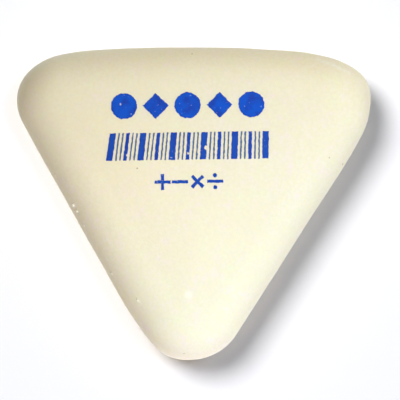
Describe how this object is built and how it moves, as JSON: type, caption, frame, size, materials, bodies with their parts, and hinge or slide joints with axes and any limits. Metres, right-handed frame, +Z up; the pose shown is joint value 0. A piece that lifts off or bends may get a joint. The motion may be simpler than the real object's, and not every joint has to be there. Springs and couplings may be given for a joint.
{
  "type": "triangular eraser",
  "caption": "Flat triangular pencil eraser: a soft rubber block with bowed sides, round corners and a full round rim, with a blue print of discs, lozenges, stripes and arithmetic signs.",
  "frame": {"origin": "on the resting surface, under the middle of the block's box", "axes": "+X along the long edge, +Y from the tip to the long edge, +Z up out of the printed face"},
  "size_m": [0.051, 0.0452, 0.0131],
  "materials": {
    "rubber": "matte",
    "ink": "matte"
  },
  "bodies": {
    "root": {"rubber_block": "rubber", "disc_marks": "ink", "lozenge_marks": "ink", "wide_stripes": "ink", "medium_stripes": "ink", "narrow_stripes": "ink", "plus_sign": "ink", "minus_sign": "ink", "times_sign": "ink", "divide_sign": "ink"}
  },
  "joints": []
}
